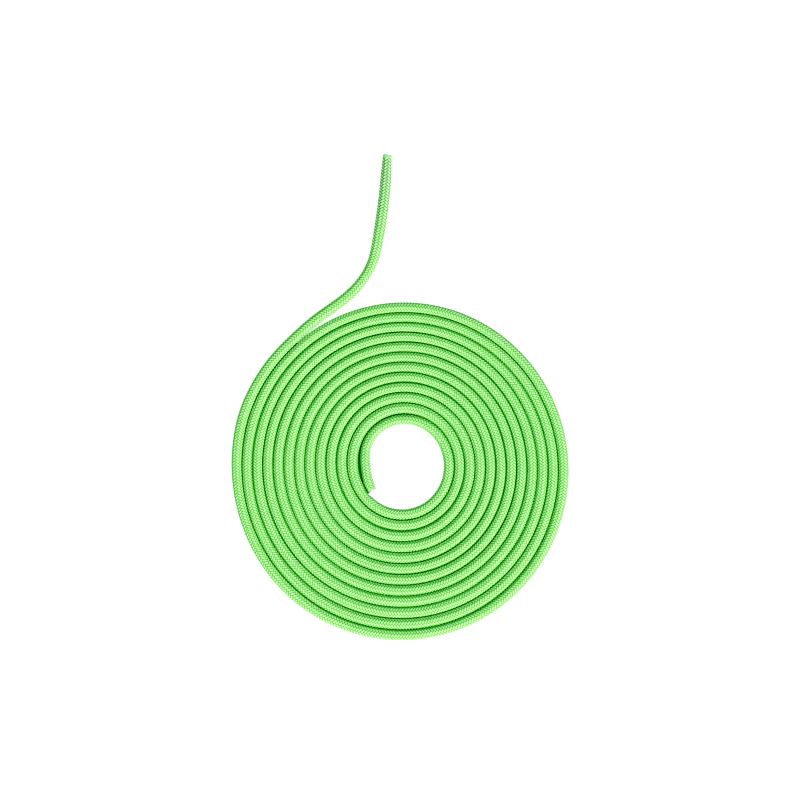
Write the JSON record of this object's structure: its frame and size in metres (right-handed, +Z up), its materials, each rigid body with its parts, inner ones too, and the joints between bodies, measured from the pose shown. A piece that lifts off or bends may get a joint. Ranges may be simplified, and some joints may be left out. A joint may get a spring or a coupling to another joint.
{
  "type": "dynamic climbing rope",
  "caption": "Bright green kernmantle dynamic climbing rope, laid flat in a tight round spiral coil with a cut end in the middle and a short free tail.",
  "frame": {"origin": "on the surface that the rope lies on, midway across and midway along the coil and its tail together", "axes": "+Z up from the surface, through the flat coil's thickness; +Y along the tail, away from the coil; +X to the right when looking down with the tail pointing away"},
  "size_m": [0.3261, 0.4703, 0.01],
  "materials": {
    "sheath_nylon": "braided nylon yarn, soft satin sheen",
    "core_nylon": "twisted white nylon yarn, matte",
    "marker_tape": "thin smooth film",
    "fused_nylon": "melted nylon, smooth satin"
  },
  "bodies": {
    "root": {"coiled_turns": "sheath_nylon", "tail_sheath": "sheath_nylon", "tail_core_strand_1": "core_nylon", "tail_core_strand_2": "core_nylon", "tail_core_strand_3": "core_nylon", "tail_core_strand_4": "core_nylon", "tail_core_strand_5": "core_nylon", "tail_core_strand_6": "core_nylon", "tail_core_strand_7": "core_nylon", "tail_marker_tape": "marker_tape", "tail_fused_tip": "fused_nylon", "inner_end_sheath": "sheath_nylon", "inner_end_core_strand_1": "core_nylon", "inner_end_core_strand_2": "core_nylon", "inner_end_core_strand_3": "core_nylon", "inner_end_core_strand_4": "core_nylon", "inner_end_core_strand_5": "core_nylon", "inner_end_core_strand_6": "core_nylon", "inner_end_core_strand_7": "core_nylon", "inner_end_marker_tape": "marker_tape", "inner_end_fused_tip": "fused_nylon"}
  },
  "joints": []
}
